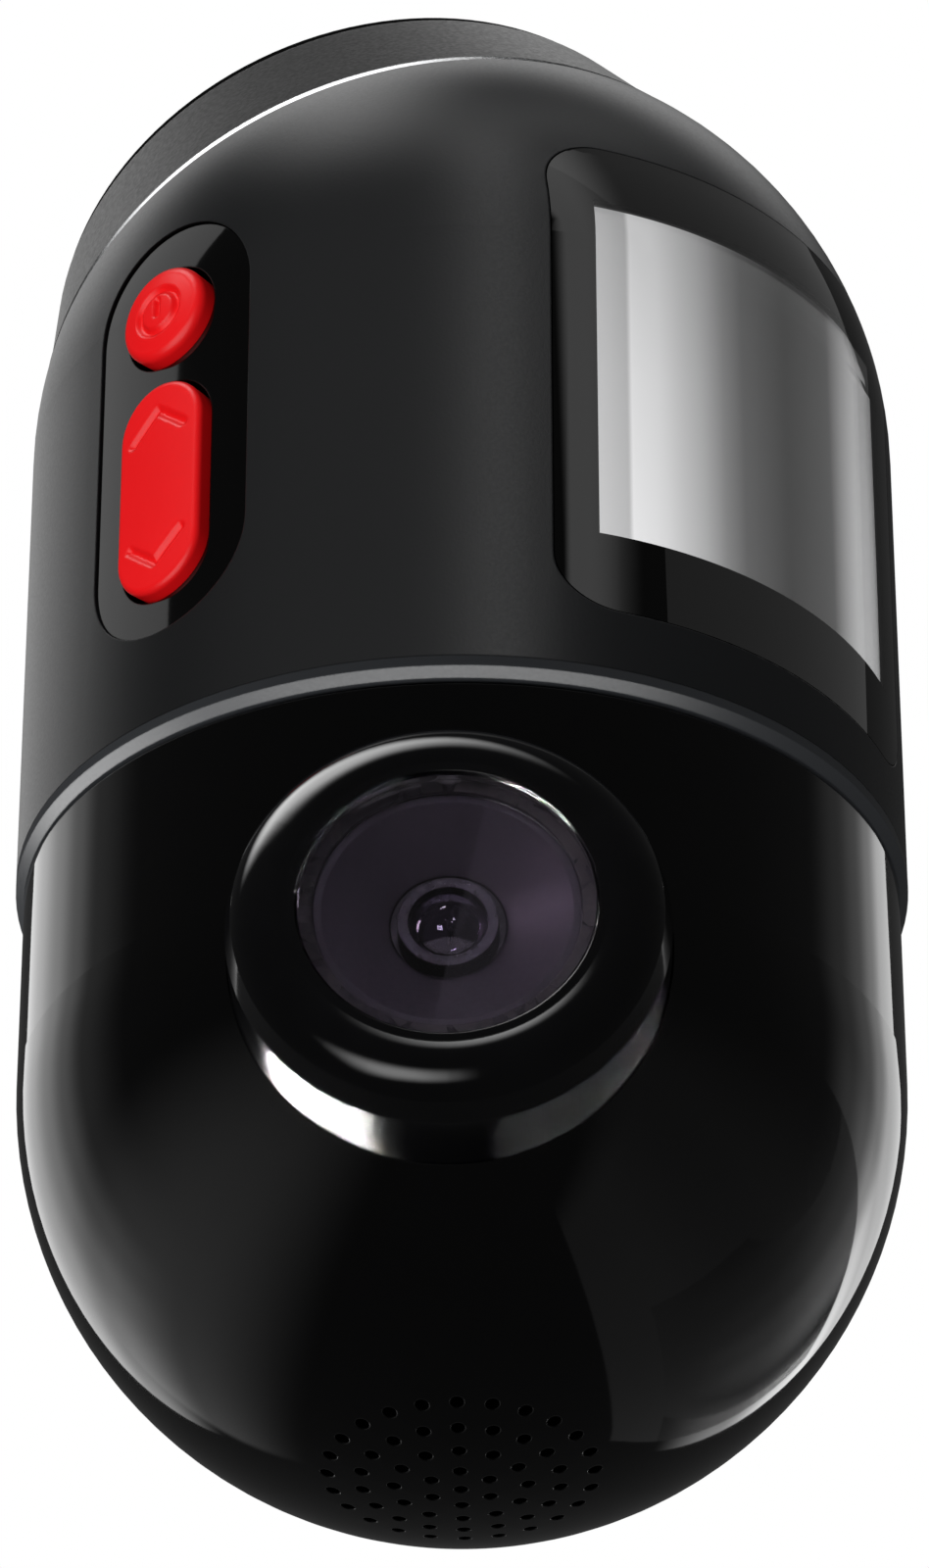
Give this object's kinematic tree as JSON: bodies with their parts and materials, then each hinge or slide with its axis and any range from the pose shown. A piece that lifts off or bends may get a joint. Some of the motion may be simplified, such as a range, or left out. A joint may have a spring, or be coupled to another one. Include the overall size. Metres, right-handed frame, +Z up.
{
  "type": "dash camera",
  "caption": "Windscreen dash camera: domed upright housing with a curved display and side buttons, over a panning round-ended rotor with a lens and a speaker.",
  "frame": {"origin": "centre of the adhesive pad's outer face, which sticks to the windscreen", "axes": "+Z up along the body's own axis, -Y towards the display's front, so the display faces the driver; the mount leans towards +Y"},
  "size_m": [0.0532, 0.0534, 0.0949],
  "materials": {
    "mount_plastic": "fine satin grain",
    "trim_metal": "bright turned edge",
    "pad_foam": "closed-cell foam",
    "housing_plastic": "charcoal, fine satin",
    "inner_plastic": "moulded",
    "screw_steel": "plain",
    "display_glass": "polished, curved",
    "black_print": "printed film",
    "display_panel": "unlit panel, pale reflection",
    "white_film": "diffuser",
    "stamped_steel": "stamped, tinned",
    "gloss_plastic": "piano black",
    "circuit_board": "solder mask",
    "chip_resin": "moulded resin",
    "alloy": "machined",
    "alloy_black": "black anodised",
    "capacitor_sleeve": "shrink sleeve",
    "ceramic_patch": "ceramic body",
    "white_acetal": "acetal",
    "flat_cable": "polyimide",
    "cover_glass": "coated, purple cast",
    "seal_rubber": "plain",
    "baffle_plastic": "fine matt",
    "lens_glass": "coated",
    "filter_glass": "blue filter",
    "speaker_paper": "film",
    "mesh_fabric": "fine weave",
    "red_plastic": "soft satin red"
  },
  "bodies": {
    "mount": {"mount_drum": "mount_plastic", "trim_ring": "trim_metal", "adhesive_pad": "pad_foam"},
    "housing": {"upper_shell": "housing_plastic", "skirt_ring": "housing_plastic", "bayonet_plate": "inner_plastic", "bayonet_screws": "screw_steel", "display_glass": "display_glass", "display_mask": "black_print", "lcd_panel": "display_panel", "lcd_backlight": "white_film", "lcd_frame": "stamped_steel", "button_bezel": "gloss_plastic", "rocker_pin": "screw_steel", "button_board": "circuit_board", "tact_switches": "stamped_steel", "main_board": "circuit_board", "processor": "chip_resin", "heat_sink": "alloy", "power_board": "circuit_board", "supercapacitors": "capacitor_sleeve", "satellite_antenna": "ceramic_patch", "inlet_board": "circuit_board", "usb_c_socket": "stamped_steel", "card_board": "circuit_board", "card_socket": "stamped_steel", "microphone": "stamped_steel", "bearing_deck": "inner_plastic", "deck_screws": "screw_steel", "bearing_bush": "white_acetal", "pan_motor": "stamped_steel", "ribbon_coil": "flat_cable"},
    "rotor": {"rotor_shell": "gloss_plastic", "lens_ring": "gloss_plastic", "lens_cover_glass": "cover_glass", "glass_gasket": "seal_rubber", "lens_baffle": "baffle_plastic", "lens_barrel": "alloy_black", "front_element": "lens_glass", "rear_element": "lens_glass", "lens_holder": "inner_plastic", "infrared_filter": "filter_glass", "image_sensor": "chip_resin", "sensor_board": "circuit_board", "sensor_cable": "flat_cable", "speaker_frame": "inner_plastic", "speaker_cone": "speaker_paper", "speaker_magnet": "alloy", "speaker_gasket": "pad_foam", "grille_mesh": "mesh_fabric", "rotor_deck": "inner_plastic", "rotor_deck_screws": "screw_steel", "spindle": "alloy", "drive_gear": "white_acetal", "retaining_clip": "screw_steel"},
    "pinion": {"pinion": "white_acetal", "motor_shaft": "screw_steel"},
    "power_button": {"power_button": "red_plastic"},
    "rocker": {"rocker": "red_plastic"}
  },
  "joints": [
    {"name": "mount_twist", "type": "hinge", "parent": "mount", "child": "housing", "pos_m": [0, 0, 0], "axis": [0, 0.3859, 0.9225], "range_deg": [0, 45]},
    {"name": "lens_pan", "type": "hinge", "parent": "housing", "child": "rotor", "pos_m": [0, -0.00772, -0.04945], "axis": [0, 0, 1], "range_deg": [-304, 36]},
    {"name": "motor_spin", "type": "hinge", "parent": "housing", "child": "pinion", "pos_m": [0.018, -0.00772, -0.04945], "axis": [0, 0, 1], "range_deg": [-127, 1065]},
    {"name": "power_press", "type": "slide", "parent": "housing", "child": "power_button", "axis": [0.9969, 0.0785, 0], "range_m": [0, 0.0004], "stiffness_N_per_m": 4000},
    {"name": "rocker_tilt", "type": "hinge", "parent": "housing", "child": "rocker", "pos_m": [-0.02353, -0.00957, -0.0325], "axis": [0.0785, -0.9969, 0], "range_deg": [-3, 3], "stiffness_Nm_per_rad": 0.15}
  ],
  "couplings": [
    {"joint": "motor_spin", "follows": "lens_pan", "ratio": -3.5}
  ]
}
